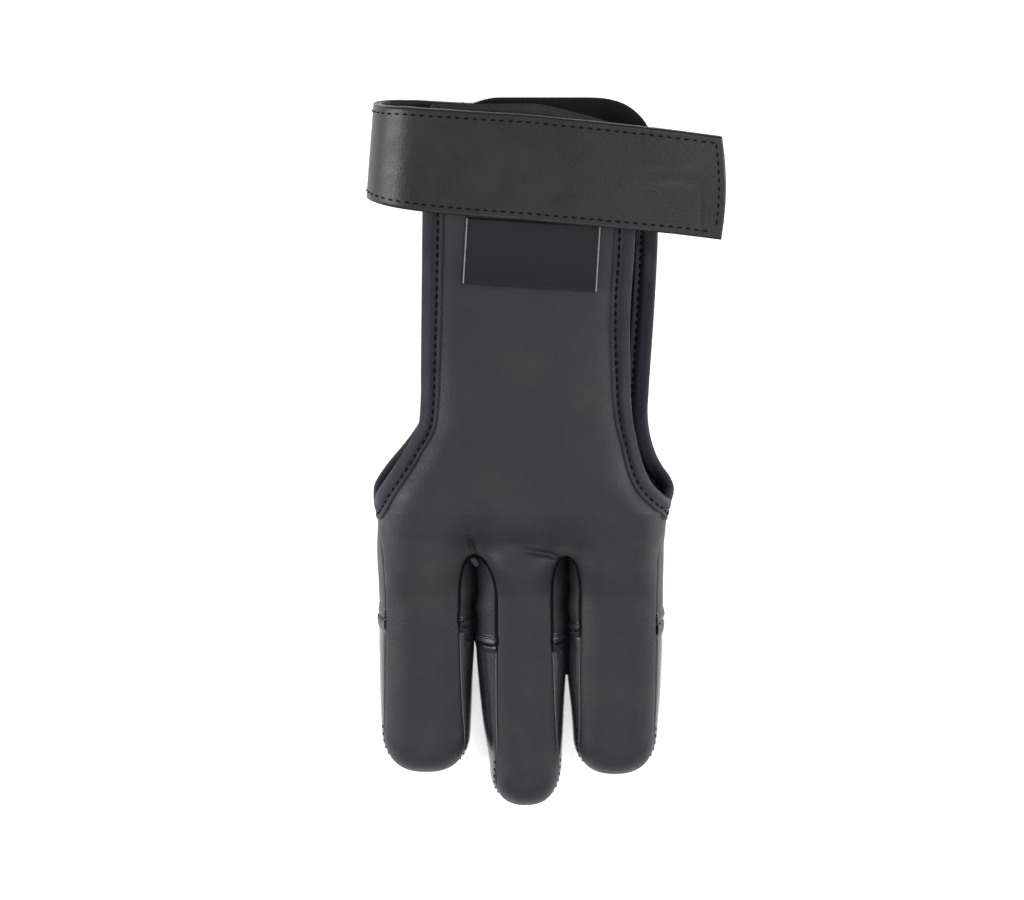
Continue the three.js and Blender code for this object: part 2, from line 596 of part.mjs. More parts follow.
// The strap's middle line, with its place along the hand and its width
function strapStations() {
  const route = new THREE.CatmullRomCurve3(STRAP.map((row) => new THREE.Vector3(
    row.x * STRAP_REACH, 0, 0.5 * STRAP_LEATHER + row.z * KNUCKLE_DEPTH)), false, 'centripetal');
  return shares(STRAP_STEPS * (STRAP.length - 1)).map((share) => {
    const place = share * (STRAP.length - 1);
    const row = Math.min(Math.floor(place), STRAP.length - 2);
    const part = place - row;
    const z = row < 2 ? 0.5 * STRAP_LEATHER : route.getPoint(share).z;
    const point = route.getPoint(share).setZ(z);
    const tangent = route.getTangent(share);
    if (row < 2) tangent.set(-1, 0, 0);
    return {
      point, normal: new THREE.Vector3(-tangent.z, 0, tangent.x).normalize().negate(),
      middle: HAND_LENGTH * lerp(STRAP[row].middle, STRAP[row + 1].middle, part),
      half: 0.5 * STRAP_WIDTH * lerp(STRAP[row].width, STRAP[row + 1].width, part),
      skew: STRAP_WIDTH * lerp(STRAP[row].skew, STRAP[row + 1].skew, part),
    };
  });
}

// A ribbon along stations, between two distances from their middle line
function ribbon(stations, near, far, halfOf, bulge = 0) {
  const across = shares(4).map((share) => 2 * share - 1);
  const grid = stations.map((station, i) => across.map((share) => {
    const at = (distance) => station.point.clone()
      .addScaledVector(station.normal, distance).setY(station.middle + share * halfOf(station));
    const line = { outer: at(far), inner: at(near) };
    const end = i === stations.length - 1 ? bulge * (1 - share * share) : 0;
    const shift = end + station.skew * share;
    line.outer.x += shift;
    line.inner.x += shift;
    return line;
  }));
  return leatherSolid([grid]);
}

function wristStrap() {
  return ribbon(strapStations(), -0.5 * STRAP_LEATHER, 0.5 * STRAP_LEATHER, ({ half }) => half,
    STRAP_BULGE);
}

// The hook patch is sewn under the free end of the strap
function hookPatch() {
  const under = strapStations().slice(STRAP_STEPS * 8).filter(({ point }) => point.x < HOOK_END
    && point.x > HOOK_END - PATCH_LENGTH);
  const near = 0.5 * STRAP_LEATHER + SEAM_GAP;
  return ribbon(under, near, near + PATCH_THICKNESS, () => 0.5 * PATCH_WIDTH);
}

// The loop patch lies on the back of the hand under the strap
function loopPatch() {
  const grid = shares(8).map((share) => {
    const x = LOOP_PLACE.x + (share - 0.5) * PATCH_LENGTH;
    return shares(4).map((part) => {
      const y = LOOP_PLACE.along + (part - 0.5) * PATCH_WIDTH + LOOP_PLACE.slope * x;
      const z = backHeight(x, y) + SEAM_GAP;
      return {
        outer: new THREE.Vector3(x, y, z + PATCH_THICKNESS),
        inner: new THREE.Vector3(x, y, z),
      };
    });
  });
  return leatherSolid([grid]);
}

// The label is a flat flap, a little lifted at its free end
function label() {
  const grid = shares(6).map((share) => shares(4).map((part) => {
    const flat = new THREE.Vector2((share - 0.5) * LABEL_WIDTH, (part - 0.5) * LABEL_HEIGHT);
    flat.rotateAround(new THREE.Vector2(0, 0), LABEL_TURN);
    const x = LABEL_PLACE.x + flat.x;
    const y = LABEL_PLACE.along + flat.y;
    const z = backHeight(x, y) + SEAM_GAP + LABEL_LIFT * (1 - part) ** 2;
    return {
      outer: new THREE.Vector3(x, y, z + LABEL_THICKNESS),
      inner: new THREE.Vector3(x, y, z),
    };
  }));
  return leatherSolid([grid]);
}

const material = (color, roughness, metalness = 0) =>
  new THREE.MeshStandardMaterial({ color, roughness, metalness });
const softLeather = material('#3c3c40', 0.6);
const padLeather = material('#2a2a2e', 0.35);
const edgingLeather = material('#35343c', 0.55);
const strapLeather = material('#2c2d2e', 0.5);
const touchTape = material('#151516', 0.95);
const wovenCloth = material('#26262a', 0.7);

const glove = new THREE.Group();
const addPiece = (name, geometry, finish) => {
  const piece = new THREE.Mesh(geometry, finish);
  piece.name = name;
  glove.add(piece);
};

addPiece('back_panel', backPanel(), softLeather);
addPiece('palm_panel', palmPanel(), softLeather);
FORKS.forEach((fork, i) => addPiece(fork.name, gusset(i), softLeather));
FINGERS.forEach((finger) => addPiece(`tip_${finger.name}`, fingerPad(finger), padLeather));
addPiece('binding_left', edging(-1), edgingLeather);
addPiece('binding_right', edging(1), edgingLeather);
addPiece('wrist_strap', wristStrap(), strapLeather);
addPiece('hook_patch', hookPatch(), touchTape);
addPiece('loop_patch', loopPatch(), touchTape);
addPiece('label', label(), wovenCloth);

const box = new THREE.Box3().setFromObject(glove);
const middle = box.getCenter(new THREE.Vector3());
glove.position.set(-middle.x, -middle.y, -box.min.z);

export default glove;
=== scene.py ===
# Archery glove lying palm down: the leather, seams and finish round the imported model.
import math
import random

import bmesh
import bpy
import numpy as np
from mathutils import Matrix, Vector
from mathutils.bvhtree import BVHTree


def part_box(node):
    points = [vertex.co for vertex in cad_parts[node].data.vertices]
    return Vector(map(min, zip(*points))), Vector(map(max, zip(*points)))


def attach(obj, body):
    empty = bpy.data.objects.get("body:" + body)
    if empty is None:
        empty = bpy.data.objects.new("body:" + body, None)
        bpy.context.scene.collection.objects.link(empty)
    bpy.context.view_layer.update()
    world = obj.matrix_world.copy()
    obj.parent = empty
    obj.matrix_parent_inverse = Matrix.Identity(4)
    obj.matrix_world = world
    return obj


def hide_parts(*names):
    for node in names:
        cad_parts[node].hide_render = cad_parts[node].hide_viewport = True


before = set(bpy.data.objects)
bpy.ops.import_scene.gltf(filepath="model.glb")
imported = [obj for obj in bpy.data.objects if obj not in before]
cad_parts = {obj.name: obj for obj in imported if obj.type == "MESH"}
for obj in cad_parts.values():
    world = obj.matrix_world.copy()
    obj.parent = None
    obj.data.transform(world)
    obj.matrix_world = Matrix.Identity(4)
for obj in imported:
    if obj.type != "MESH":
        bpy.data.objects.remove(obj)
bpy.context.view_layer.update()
random.seed(7)

MM = 0.001
UP = np.array((0.0, 0.0, 1.0))

# Sizes of the real leather, thread and seams
LEATHER = 1.3 * MM
STRAP_LEATHER = 2.2 * MM
EDGING_WIDTH = 5.0 * MM
EDGING_HEIGHT = 0.95 * MM
THREAD = 0.55 * MM
FLOOR_GAP = 0.02 * MM

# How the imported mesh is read: merging, sharp edges, corners of a route, nearness to a surface
WELD = 0.01 * MM
QUAD_ANGLE = math.radians(60)
RIM_ANGLE = math.radians(50)
SHARP_ANGLE = math.radians(45)
CORNER_TURN = math.radians(40)
SURFACE_REACH = 3 * MM
STITCH_REACH = 2 * MM
SETTLING_ROUNDS = 4

# Camera: straight down on the back of the hand, tilted towards the fingertips
CAMERA_TILT = math.radians(12)
CAMERA_DISTANCE = 1400 * MM
CAMERA_TARGET = Vector((-9.49, 2.35, 10)) * MM
PICTURE_WIDTH = 294.4 * MM
SENSOR_WIDTH = 36


# Selecting, copying and shaping
def pick(*pieces):
    """Select these pieces alone, the first one active, in object mode."""
    active = bpy.context.view_layer.objects.active
    if active is not None and active.mode != "OBJECT":
        bpy.ops.object.mode_set(mode="OBJECT")
    bpy.ops.object.select_all(action="DESELECT")
    for piece in pieces:
        piece.select_set(True)
    bpy.context.view_layer.objects.active = pieces[0]


def apply_modifier(piece, kind, **settings):
    """Add a modifier with these settings and apply it."""
    pick(piece)
    modifier = piece.modifiers.new(kind.title(), kind)
    for name, value in settings.items():
        setattr(modifier, name, value)
    bpy.ops.object.modifier_apply(modifier=modifier.name)


def copy_of(node, name):
    """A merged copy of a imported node's mesh in quads, to be shaped further."""
    piece = bpy.data.objects.new(name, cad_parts[node].data.copy())
    bpy.context.scene.collection.objects.link(piece)
    piece.data.materials.clear()
    pick(piece)
    bpy.ops.object.mode_set(mode="EDIT")
    bpy.ops.mesh.select_all(action="SELECT")
    bpy.ops.mesh.remove_doubles(threshold=WELD)
    bpy.ops.mesh.tris_convert_to_quads(face_threshold=QUAD_ANGLE, shape_threshold=QUAD_ANGLE)
    bpy.ops.object.mode_set(mode="OBJECT")
    return piece


def corners_of(mesh):
    """The vertex positions of a mesh as rows of an array."""
    flat = np.zeros(3 * len(mesh.vertices), np.float32)
    mesh.vertices.foreach_get("co", flat)
    return flat.reshape(-1, 3).astype(float)


def normals_of(mesh):
    """The vertex normals of a mesh as rows of an array."""
    flat = np.zeros(3 * len(mesh.vertices), np.float32)
    mesh.vertex_normals.foreach_get("vector", flat)
    return flat.reshape(-1, 3).astype(float)


def move_corners(mesh, places):
    mesh.vertices.foreach_set("co", places.astype(np.float32).ravel())
    mesh.update()


def rim_corners(mesh):
    """True for each vertex on a sharp edge, where a wall of leather ends."""
    work = bmesh.new()
    work.from_mesh(mesh)
    rim = np.zeros(len(mesh.vertices), bool)
    for edge in work.edges:
        if edge.calc_face_angle(0) > RIM_ANGLE:
            rim[[corner.index for corner in edge.verts]] = True
    work.free()
    return rim


def smooth_subdivide(piece, levels, rim_hold=0.12):
    """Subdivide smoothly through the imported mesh's own corners, with rounded rims."""
    kept = corners_of(piece.data)
    hold = np.where(rim_corners(piece.data), rim_hold, 1.0)[:, None]
    for _ in range(SETTLING_ROUNDS):
        trial = piece.modifiers.new("trial", "SUBSURF")
        trial.levels = 1
        shaped = piece.evaluated_get(bpy.context.evaluated_depsgraph_get())
        drift = kept - corners_of(shaped.data)[: len(kept)]
        piece.modifiers.remove(trial)
        move_corners(piece.data, corners_of(piece.data) + hold * drift)
    apply_modifier(piece, "SUBSURF", levels=levels, render_levels=levels)
    pick(piece)
    bpy.ops.object.shade_smooth()


def crease_rims(piece):
    """Keep the sharp edges of a flat strip through the subdivision."""
    pick(piece)
    bpy.ops.object.mode_set(mode="EDIT")
    bpy.ops.mesh.select_mode(type="EDGE")
    bpy.ops.mesh.select_all(action="DESELECT")
    bpy.ops.mesh.edges_select_sharp(sharpness=RIM_ANGLE)
    bpy.ops.transform.edge_crease(value=1)
    bpy.ops.object.mode_set(mode="OBJECT")


def finish_piece(piece, material, slot, *nodes):
    """Press a piece flat where it lies, give it its material and let it stand for the nodes."""
    places = corners_of(piece.data)
    places[:, 2] = np.maximum(places[:, 2], FLOOR_GAP)
    move_corners(piece.data, places)
    piece.data.materials.clear()
    piece.data.materials.append(material)
    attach(piece, "root")
    if nodes:
        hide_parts(*nodes)


# Routes along the edges of the leather: each row is a point, the normal and the inward direction
def unit(rows):
    return rows / np.maximum(np.linalg.norm(rows, axis=-1, keepdims=True), 1e-12)


def sheets_of(work):
    """The smooth sheets of a piece's faces, the largest first."""
    seen = set()
    sheets = []
    for start in work.faces:
        if start.index in seen:
            continue
        seen.add(start.index)
        sheet = [start]
        for face in sheet:
            for edge in face.edges:
                if edge.calc_face_angle(math.pi) > RIM_ANGLE:
                    continue
                for other in edge.link_faces:
                    if other.index not in seen:
                        seen.add(other.index)
                        sheet.append(other)
        sheets.append(sheet)
    return sorted(sheets, key=lambda sheet: -sum(face.calc_area() for face in sheet))


def outer_sheet(work, top=False):
    """The faces on the outer side of a leather wall, or on the top of a flat piece."""
    middle = sum((corner.co for corner in work.verts), Vector()) / len(work.verts)

    def facing(sheet):
        if top:
            return sum(face.normal.z * face.calc_area() for face in sheet)
        return sum((face.calc_center_median() - middle).dot(face.normal) * face.calc_area()
                   for face in sheet)

    return max(sheets_of(work)[:2], key=facing)


def mark_inside(piece):
    """Mark the corners on the hand's side of a wall, where the leather is rough."""
    work = bmesh.new()
    work.from_mesh(piece.data)
    outside = {corner.index for face in outer_sheet(work) for corner in face.verts}
    work.free()
    marks = [0.0 if k in outside else 1.0 for k in range(len(piece.data.vertices))]
    piece.data.attributes.new("inside", "FLOAT", "POINT").data.foreach_set("value", marks)


def border_of(sheet):
    """The closed route round a sheet of faces, with its normals and inward directions."""
    chosen = {face.index for face in sheet}
    steps = {}
    for face in sheet:
        for loop in face.loops:
            if sum(other.index in chosen for other in loop.edge.link_faces) == 1:
                steps[loop.vert] = loop.link_loop_next.vert
    first = at = next(iter(steps))
    route = []
    while True:
        own = [face for face in at.link_faces if face.index in chosen]
        normal = sum((face.normal * face.calc_area() for face in own), Vector()).normalized()
        inward = sum((face.calc_center_median() for face in own), Vector()) / len(own) - at.co
        inward = (inward - normal * inward.dot(normal)).normalized()
        route.append((*at.co, *normal, *inward))
        at = steps[at]
        if at == first:
            return np.array(route)


def outer_edge(piece, top=False):
    """The closed route round the outer side of a wall, before it is subdivided."""
    work = bmesh.new()
    work.from_mesh(piece.data)
    route = border_of(outer_sheet(work, top))
    work.free()
    return route


def wall_edges(piece, count):
    """The closed routes round the largest sheets of a piece."""
    work = bmesh.new()
    work.from_mesh(piece.data)
    routes = [border_of(sheet) for sheet in sheets_of(work)[:count]]
    work.free()
    return routes


def stretch(route, wanted):
    """The longest stretch of a closed route whose rows are wanted."""
    keep = np.array([bool(wanted(row[:3] / MM)) for row in route])
    start = int(np.argmin(keep))
    route = np.roll(route, -start, axis=0)
    keep = np.roll(keep, -start)
    runs = []
    for index, wanted_here in enumerate(keep):
        if wanted_here and (index == 0 or not keep[index - 1]):
            runs.append([])
        if wanted_here:
            runs[-1].append(index)
    return route[max(runs, key=len)]


def resample(route, step):
    """The route again at an even step, on a smooth curve through its points."""
    length = np.concatenate(([0], np.cumsum(np.linalg.norm(np.diff(route[:, :3], axis=0), axis=1))))
    slope = np.gradient(route, length, axis=0)
    at = np.linspace(0, length[-1], max(2, round(length[-1] / step) + 1))
    i = np.clip(np.searchsorted(length, at) - 1, 0, len(length) - 2)
    span = (length[i + 1] - length[i])[:, None]
    t = (at - length[i])[:, None] / span
    rows = ((2 * t**3 - 3 * t**2 + 1) * route[i] + (t**3 - 2 * t**2 + t) * span * slope[i]
            + (3 * t**2 - 2 * t**3) * route[i + 1] + (t**3 - t**2) * span * slope[i + 1])
    normal = unit(rows[:, 3:6])
    inward = unit(np.cross(normal, np.gradient(rows[:, :3], axis=0)))
    if (inward * rows[:, 6:9]).sum() < 0:
        inward = -inward
    rows[:, 3:6] = normal
    rows[:, 6:9] = inward
    return rows


def sides_of(route):
    """A closed route cut at its sharp corners into open sides."""
    ahead = unit(np.roll(route[:, :3], -1, axis=0) - route[:, :3])
    behind = np.roll(ahead, 1, axis=0)
    corners = np.flatnonzero((ahead * behind).sum(axis=1) < math.cos(CORNER_TURN))
    closed = np.concatenate((route, route))
    return [closed[a:(b if b > a else b + len(route)) + 1]
            for a, b in zip(corners, np.roll(corners, -1))]


def surface_of(*pieces):
    """The faces of finished pieces, to lay seams and stitches on."""
    points = []
    faces = []
    for piece in pieces:
        start = len(points)
        points += [corner.co.copy() for corner in piece.data.vertices]
        faces += [[start + k for k in face.vertices] for face in piece.data.polygons]
    return BVHTree.FromPolygons(points, faces)


def lay_on(surface, points, facing):
    """The nearest points of a surface and its normals, turned to the side that faces out."""
    places = np.array(points)
    normals = np.array(facing)
    for k, point in enumerate(points):
        place, normal, _, distance = surface.find_nearest(Vector(point))
        if place is not None and distance < SURFACE_REACH and normal.dot(Vector(facing[k])) > 0.2:
            places[k] = place
            normals[k] = normal
    return places, normals


def skin(name, rings):
    """A closed surface through rings of points, with flat ends."""
    count = len(rings[0])
    faces = []
    for i in range(len(rings) - 1):
        for j in range(count):
            k = (j + 1) % count
            a = i * count
            faces.append((a + j, a + k, a + count + k, a + count + j))
    faces.append(tuple(reversed(range(count))))
    faces.append(tuple(range((len(rings) - 1) * count, len(rings) * count)))
    mesh = bpy.data.meshes.new(name)
    mesh.from_pydata(np.concatenate(rings).tolist(), [], faces)
    piece = bpy.data.objects.new(name, mesh)
    bpy.context.scene.collection.objects.link(piece)
    pick(piece)
    bpy.ops.object.mode_set(mode="EDIT")
    bpy.ops.mesh.select_all(action="SELECT")
    bpy.ops.mesh.normals_make_consistent(inside=False)
    bpy.ops.object.mode_set(mode="OBJECT")
    bpy.ops.object.shade_smooth_by_angle(angle=SHARP_ANGLE)
    return piece


# Stitches: one is modelled and copied along every row
def model_stitch():
    """One stitch of thread that dips into the leather at both ends, one metre long."""
    bpy.ops.object.select_all(action="DESELECT")
    bpy.ops.mesh.primitive_uv_sphere_add(segments=8, ring_count=6, radius=0.5)
    stitch = bpy.context.active_object
    bpy.ops.object.mode_set(mode="EDIT")
    bpy.ops.transform.rotate(value=math.radians(90), orient_axis="Y", center_override=(0, 0, 0))
    bpy.ops.object.mode_set(mode="OBJECT")
    shape = corners_of(stitch.data)
    shape[:, 2] -= 0.9 * shape[:, 0] ** 2
    faces = [list(face.vertices) for face in stitch.data.polygons]
    bpy.data.objects.remove(stitch)
    return shape, faces


STITCH = model_stitch()


def lay_stitches(name, rows, length, thread=THREAD):
    """Stitches at these rows of place, direction and normal, joined into one piece."""
    shape, stitch_faces = STITCH
    points = []
    faces = []
    for place, direction, normal in rows:
        direction = unit(direction + random.gauss(0, 0.07) * np.cross(normal, direction))
        across = unit(np.cross(normal, direction))
        lift = np.cross(direction, across)
        start = len(points) * len(shape)
        size = length * random.uniform(0.88, 1.08)
        points.append(place + size * shape[:, :1] * direction
                      + thread * shape[:, 1:2] * across + 1.3 * thread * shape[:, 2:] * lift)
        faces += [[start + k for k in face] for face in stitch_faces]
    mesh = bpy.data.meshes.new(name)
    mesh.from_pydata(np.concatenate(points).tolist(), [], faces)
    piece = bpy.data.objects.new(name, mesh)
    bpy.context.scene.collection.objects.link(piece)
    pick(piece)
    bpy.ops.object.shade_smooth()
    finish_piece(piece, thread_black, "edging_leather")


def stitch_row(route, surface, inward, pitch, facing=1):
    """Places for stitches along a route, moved inward from it, where the surface is under them."""
    even = resample(route, pitch)
    ahead = unit(np.gradient(even[:, :3], axis=0))
    rows = []
    for row, direction in zip(even, ahead):
        place, normal, _, distance = surface.find_nearest(Vector(row[:3] + inward * row[6:9]))
        if distance < STITCH_REACH and normal.dot(Vector(facing * row[3:6])) > 0.35:
            normal = np.array(normal)
            rows.append((np.array(place), unit(direction - normal * (direction @ normal)), normal))
    return rows


def distance_to(places, line):
    """How far each place is from a line of points, and its share of the way along."""
    near = np.full(len(places), 1e9)
    share = np.zeros(len(places))
    for k in range(len(line) - 1):
        along = line[k + 1] - line[k]
        t = np.clip((places - line[k]) @ along / (along @ along), 0, 1)
        away = np.linalg.norm(places - line[k] - t[:, None] * along, axis=1)
        closer = away < near
        near = np.where(closer, away, near)
        share = np.where(closer, (k + t) / (len(line) - 1), share)
    return near, share


def fade(distance, reach, power=2):
    """One at no distance, falling away smoothly round the reach."""
    return np.exp(-((distance / reach) ** power))


def press(piece, line, width, depth, floor):
    """Lower the leather above the floor height along a line seen from above, less at its ends."""
    places = corners_of(piece.data)
    near, share = distance_to(places[:, :2], np.array(line, float) * MM)
    swell = np.sin(np.pi * np.clip(0.1 + 0.8 * share, 0, 1))
    places[:, 2] -= depth * fade(near, width) * swell * (places[:, 2] > floor)
    move_corners(piece.data, places)


def refine(piece, line, reach, floor):
    """Split the faces near a line seen from above, so that a crease can be sharp there."""
    places = corners_of(piece.data)
    near, _ = distance_to(places[:, :2], np.array(line, float) * MM)
    chosen = (near < reach) & (places[:, 2] > floor)
    pick(piece)
    bpy.ops.object.mode_set(mode="EDIT")
    bpy.ops.mesh.select_all(action="DESELECT")
    bpy.ops.object.mode_set(mode="OBJECT")
    piece.data.vertices.foreach_set("select", chosen)
    bpy.ops.object.mode_set(mode="EDIT")
    bpy.ops.mesh.select_mode(type="VERT")
    bpy.ops.mesh.subdivide(number_cuts=3)
    bpy.ops.object.mode_set(mode="OBJECT")


def groove(piece, line, width, depth):
    """Sink a narrow groove into a surface along a closed line of points."""
    places = corners_of(piece.data)
    near, _ = distance_to(places, line)
    sink = depth * fade(near, width)
    move_corners(piece.data, places - sink[:, None] * normals_of(piece.data))


# Materials: sizes of the dye's clouds and the polish's patches, and the rough side's finish
CLOUD_SCALE = 55
POLISH_SCALE = 160
ROUGH_SIDE_COLOUR = (0.012, 0.012, 0.013, 1)
ROUGH_SIDE_SHINE = 0.08


def material_nodes(name):
    material = bpy.data.materials.new(name)
    material.use_nodes = True
    nodes = material.node_tree.nodes
    nodes.clear()
    out = nodes.new("ShaderNodeOutputMaterial")
    shader = nodes.new("ShaderNodeBsdfPrincipled")
    material.node_tree.links.new(shader.outputs["BSDF"], out.inputs["Surface"])
    place = nodes.new("ShaderNodeTexCoord")
    return material, shader, place.outputs["Object"]


def add_node(material, kind, sources=(), **settings):
    """A node with these links into its inputs, and these settings or input values."""
    node = material.node_tree.nodes.new(kind)
    for name, value in settings.items():
        socket = node.inputs.get(name.replace("_", " ").title())
        if socket is not None:
            socket.default_value = value
        else:
            setattr(node, name, value)
    for name, source in dict(sources).items():
        material.node_tree.links.new(source, node.inputs[name])
    return node


def colours(material, source, stops):
    """A colour ramp through these stops of place and colour."""
    ramp = add_node(material, "ShaderNodeValToRGB", {"Fac": source})
    marks = ramp.color_ramp.elements
    while len(marks) < len(stops):
        marks.new(0.5)
    for mark, (place, colour) in zip(marks, stops):
        mark.position = place
        mark.color = (*colour, 1)
    return ramp.outputs["Color"]


def leather(name, stops, rough, grain, grain_height, shine, rough_inside=False):
    """Leather with cloudy dye, pebbled grain, fine pores and uneven polish."""
    material, shader, place = material_nodes(name)
    clouds = add_node(material, "ShaderNodeTexNoise", {"Vector": place}, scale=CLOUD_SCALE,
                      detail=3)
    dye = colours(material, clouds.outputs["Fac"], stops)
    patches = add_node(material, "ShaderNodeTexNoise", {"Vector": place}, scale=POLISH_SCALE,
                       detail=5)
    spread = add_node(material, "ShaderNodeMapRange", {"Value": patches.outputs["Fac"]})
    spread.inputs["From Min"].default_value = 0.3
    spread.inputs["From Max"].default_value = 0.7
    spread.inputs["To Min"].default_value = rough[0]
    spread.inputs["To Max"].default_value = rough[1]
    polish = spread.outputs["Result"]
    shader.inputs["Specular IOR Level"].default_value = shine
    if rough_inside:
        inside = add_node(material, "ShaderNodeAttribute", attribute_name="inside").outputs["Fac"]
        two_sides = add_node(material, "ShaderNodeMix", {0: inside, 6: dye}, data_type="RGBA")
        two_sides.inputs[7].default_value = ROUGH_SIDE_COLOUR
        dye = two_sides.outputs[2]
        dull_side = add_node(material, "ShaderNodeMix", {0: inside, 2: polish})
        dull_side.inputs[3].default_value = 1.0
        polish = dull_side.outputs[0]
        less_shine = add_node(material, "ShaderNodeMix", {0: inside})
        less_shine.inputs[2].default_value = shine
        less_shine.inputs[3].default_value = ROUGH_SIDE_SHINE
        material.node_tree.links.new(less_shine.outputs[0], shader.inputs["Specular IOR Level"])
    material.node_tree.links.new(dye, shader.inputs["Base Color"])
    material.node_tree.links.new(polish, shader.inputs["Roughness"])
    pebbles = add_node(material, "ShaderNodeTexVoronoi", {"Vector": place}, scale=grain)
    pores = add_node(material, "ShaderNodeTexNoise", {"Vector": place}, scale=3 * grain, detail=2)
    both = add_node(material, "ShaderNodeMath",
                    {0: pebbles.outputs["Distance"], 1: pores.outputs["Fac"]}, operation="ADD")
    bump = add_node(material, "ShaderNodeBump", {"Height": both.outputs["Value"]},
                    strength=0.5, distance=grain_height)
    material.node_tree.links.new(bump.outputs["Normal"], shader.inputs["Normal"])
    return material


def woven(name, dark, light, pitch, rough):
    """Satin cloth: fine slanting floats of thread over each other."""
    material, shader, place = material_nodes(name)
    scale = 2 * math.pi / pitch
    slant = add_node(material, "ShaderNodeMapping", {"Vector": place},
                     rotation=(0, 0, math.radians(28)))
    floats = add_node(material, "ShaderNodeTexWave", {"Vector": slant.outputs["Vector"]},
                      scale=scale / 20, distortion=1.5, detail=1)
    rows = add_node(material, "ShaderNodeTexWave", {"Vector": place}, scale=scale / 14,
                    bands_direction="Y")
    both = add_node(material, "ShaderNodeMath",
                    {0: floats.outputs["Fac"], 1: rows.outputs["Fac"]}, operation="MULTIPLY")
    dye = colours(material, both.outputs["Value"], ((0, dark), (1, light)))
    material.node_tree.links.new(dye, shader.inputs["Base Color"])
    bump = add_node(material, "ShaderNodeBump", {"Height": both.outputs["Value"]},
                    strength=0.4, distance=0.1 * MM)
    material.node_tree.links.new(bump.outputs["Normal"], shader.inputs["Normal"])
    shader.inputs["Roughness"].default_value = rough
    shader.inputs["Specular IOR Level"].default_value = 0.2
    return material


def plain(name, colour, rough, grain=4000):
    """Thread and pile: one colour, broken by a fine speckle."""
    material, shader, place = material_nodes(name)
    speckle = add_node(material, "ShaderNodeTexNoise", {"Vector": place}, scale=grain, detail=2)
    lighter = tuple(1.7 * part for part in colour)
    dye = colours(material, speckle.outputs["Fac"], ((0.35, colour), (0.7, lighter)))
    material.node_tree.links.new(dye, shader.inputs["Base Color"])
    bump = add_node(material, "ShaderNodeBump", {"Height": speckle.outputs["Fac"]},
                    strength=0.6, distance=0.1 * MM)
    material.node_tree.links.new(bump.outputs["Normal"], shader.inputs["Normal"])
    shader.inputs["Roughness"].default_value = rough
    shader.inputs["Specular IOR Level"].default_value = 0.1
    return material


# Each leather: stops of dye, smoothest and roughest polish, grain, height of the grain and shine
soft_leather = leather(
    "soft_leather",
    ((0.32, (0.009, 0.009, 0.0158)), (0.5, (0.0122, 0.0122, 0.0164)),
     (0.68, (0.0152, 0.0156, 0.0158))),
    (0.48, 0.58), 1300, 0.09 * MM, 0.34, rough_inside=True)
pad_leather = leather(
    "pad_leather",
    ((0.35, (0.009, 0.009, 0.012)), (0.65, (0.0135, 0.0135, 0.0165))),
    (0.16, 0.26), 1000, 0.04 * MM, 1.0, rough_inside=True)
edging_leather = leather(
    "edging_leather",
    ((0.35, (0.009, 0.0084, 0.0155)), (0.65, (0.0135, 0.0128, 0.02))),
    (0.5, 0.62), 1500, 0.1 * MM, 0.18)
# The fork walls' leather: a darker copy of the soft leather, painted shade where the fingers close
# over the forks
gusset_leather_painted_shade = leather(
    "gusset_leather_painted_shade",
    ((0.35, (0.009, 0.009, 0.0125)), (0.65, (0.014, 0.014, 0.0165))),
    (0.5, 0.6), 1300, 0.08 * MM, 0.32)
seam_leather = leather(
    "seam_leather",
    ((0.35, (0.006, 0.006, 0.009)), (0.65, (0.01, 0.01, 0.013))),
    (0.36, 0.46), 1400, 0.06 * MM, 0.5)
strap_leather = leather(
    "strap_leather",
    ((0.35, (0.006, 0.006, 0.006)), (0.65, (0.0095, 0.0095, 0.0095))),
    (0.36, 0.46), 1200, 0.07 * MM, 0.36)
# Near-black suede: the welts in the seams, and the cords that paint shade deep in the forks
dark_suede_and_painted_shade = plain("dark_suede_and_painted_shade", (0.003, 0.003, 0.0035), 1.0)
thread_black = plain("thread_black", (0.0015, 0.0015, 0.002), 0.9)
thread_grey = plain("thread_grey", (0.15, 0.15, 0.155), 0.8)
tape_pile = plain("tape_pile", (0.006, 0.006, 0.006), 0.95, 2500)
label_satin = woven("label_satin", (0.006, 0.006, 0.008), (0.0105, 0.0105, 0.013), 0.5 * MM, 0.5)


# Leather pieces, with blunt arches at the forks and creases where the leather bends
FINGERS = ("left", "middle", "right")
SIDES = ("left", "right")

# A fork each: x and y of its root, how far the leather is drawn up and apart there, how far down
# its walls touch and how much closer they come, all in mm
FORKS = ((-20.0, -29.5, 2.2, 0.8, 24, 0.5), (6.2, -29.5, 1.8, 1.0, 32, 0.75))

# How far a fork's arch, its spread, its slit and the slit's waves reach
ARCH_ACROSS = 5.5 * MM
ARCH_ALONG = 6 * MM
SPREAD_STEP = 1.6 * MM
SPREAD_FROM = 13 * MM
SPREAD_OVER = 6 * MM
SLIT_ACROSS = 3 * MM
SLIT_STEP = 0.8 * MM
CLOSING = 0.12 * MM
CLOSING_DOWN = 12 * MM
CLOSING_ALONG = 10 * MM
TOUCH_ALONG = 8 * MM
WAVE = 0.4 * MM
WAVE_DOWN = 13 * MM
WAVE_ALONG = 8 * MM
WAVE_TURN = 1.7 * MM
GUSSET_SHEETS = 4

